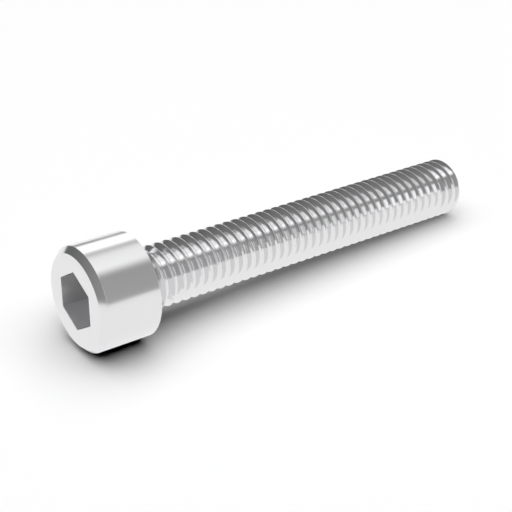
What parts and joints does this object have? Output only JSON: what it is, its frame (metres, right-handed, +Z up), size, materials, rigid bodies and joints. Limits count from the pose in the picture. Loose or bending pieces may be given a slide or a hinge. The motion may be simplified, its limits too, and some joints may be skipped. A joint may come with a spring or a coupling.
{
  "type": "socket head cap screw",
  "caption": "Machine screw with a chamfered cylindrical head, a hexagon socket in it and a thread up to the head.",
  "frame": {"origin": "centre of the bearing face under the head, on the screw's axis", "axes": "+X runs from the head towards the tip and +Z is up as the screw lies. The screw's own axis dips 3.01 degrees below +X at the tip, because the screw rests on the back rim of its head and on the crests at its tip."},
  "size_m": [0.0463, 0.01, 0.0103],
  "materials": {
    "screw_steel": "bright satin, turned head and rolled thread"
  },
  "bodies": {
    "root": {"cap_screw": "screw_steel"}
  },
  "joints": []
}
